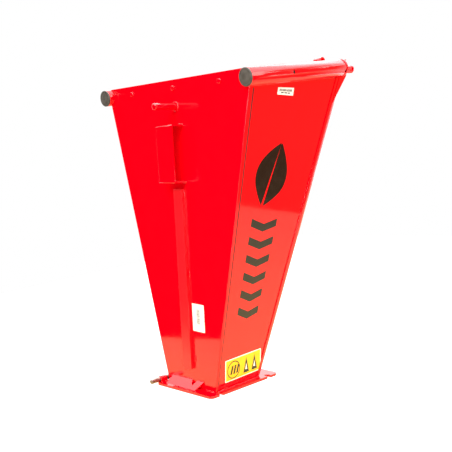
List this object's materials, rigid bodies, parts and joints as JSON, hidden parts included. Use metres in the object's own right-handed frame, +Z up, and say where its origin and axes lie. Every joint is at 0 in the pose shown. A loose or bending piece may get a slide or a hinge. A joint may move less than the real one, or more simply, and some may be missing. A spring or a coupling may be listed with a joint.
{
  "type": "wood chipper feed hopper",
  "caption": "Tapered sheet-steel feed hopper on a flanged base plate, with capped tubes along the rim, a switch bracket, a cable channel and a rubber curtain inside the mouth.",
  "frame": {"origin": "centre of the throat, on the underside of the base plate", "axes": "+Z up towards the mouth, -Y towards the side with the switch bracket, X across the wide mouth"},
  "size_m": [0.5914, 0.453, 0.8159],
  "materials": {
    "red_paint": "gloss",
    "cap_plastic": "matt",
    "bright_steel": "satin",
    "zinc_steel": "satin",
    "black_rubber": "matt"
  },
  "bodies": {
    "hopper": {"front_wall": "red_paint", "back_wall": "red_paint", "side_panel_left": "red_paint", "side_panel_right": "red_paint", "rim_tube_left": "red_paint", "rim_tube_right": "red_paint", "rear_gusset_left": "red_paint", "rear_gusset_right": "red_paint", "rim_knuckle_left": "red_paint", "rim_knuckle_right": "red_paint", "base_plate": "red_paint", "base_knuckle_front": "red_paint", "base_knuckle_back": "red_paint", "foot_hood": "red_paint", "switch_bracket": "red_paint", "cable_channel": "red_paint", "cable_post": "red_paint", "rim_pivot_left": "red_paint", "rim_pivot_right": "red_paint", "rim_cap_left": "cap_plastic", "rim_cap_right": "cap_plastic", "curtain_head": "black_rubber", "curtain_clamp": "zinc_steel", "curtain_screws": "red_paint", "curtain_washers": "zinc_steel", "curtain_nuts": "zinc_steel"},
    "pin": {"hinge_pin": "bright_steel"},
    "flap_left": {"curtain_flap_left": "black_rubber"},
    "flap_middle": {"curtain_flap_middle": "black_rubber"},
    "flap_right": {"curtain_flap_right": "black_rubber"}
  },
  "joints": [
    {"name": "pin_withdraw", "type": "slide", "parent": "hopper", "child": "pin", "axis": [0, 1, 0], "range_m": [0, 0.2]},
    {"name": "curtain_swing_left", "type": "hinge", "parent": "hopper", "child": "flap_left", "pos_m": [-0.132, -0.05563, 0.73999], "axis": [1, 0, 0], "range_deg": [-1.2, 70]},
    {"name": "curtain_swing_middle", "type": "hinge", "parent": "hopper", "child": "flap_middle", "pos_m": [0, -0.05563, 0.73999], "axis": [1, 0, 0], "range_deg": [-1.2, 70]},
    {"name": "curtain_swing_right", "type": "hinge", "parent": "hopper", "child": "flap_right", "pos_m": [0.132, -0.05563, 0.73999], "axis": [1, 0, 0], "range_deg": [-1.2, 70]}
  ]
}
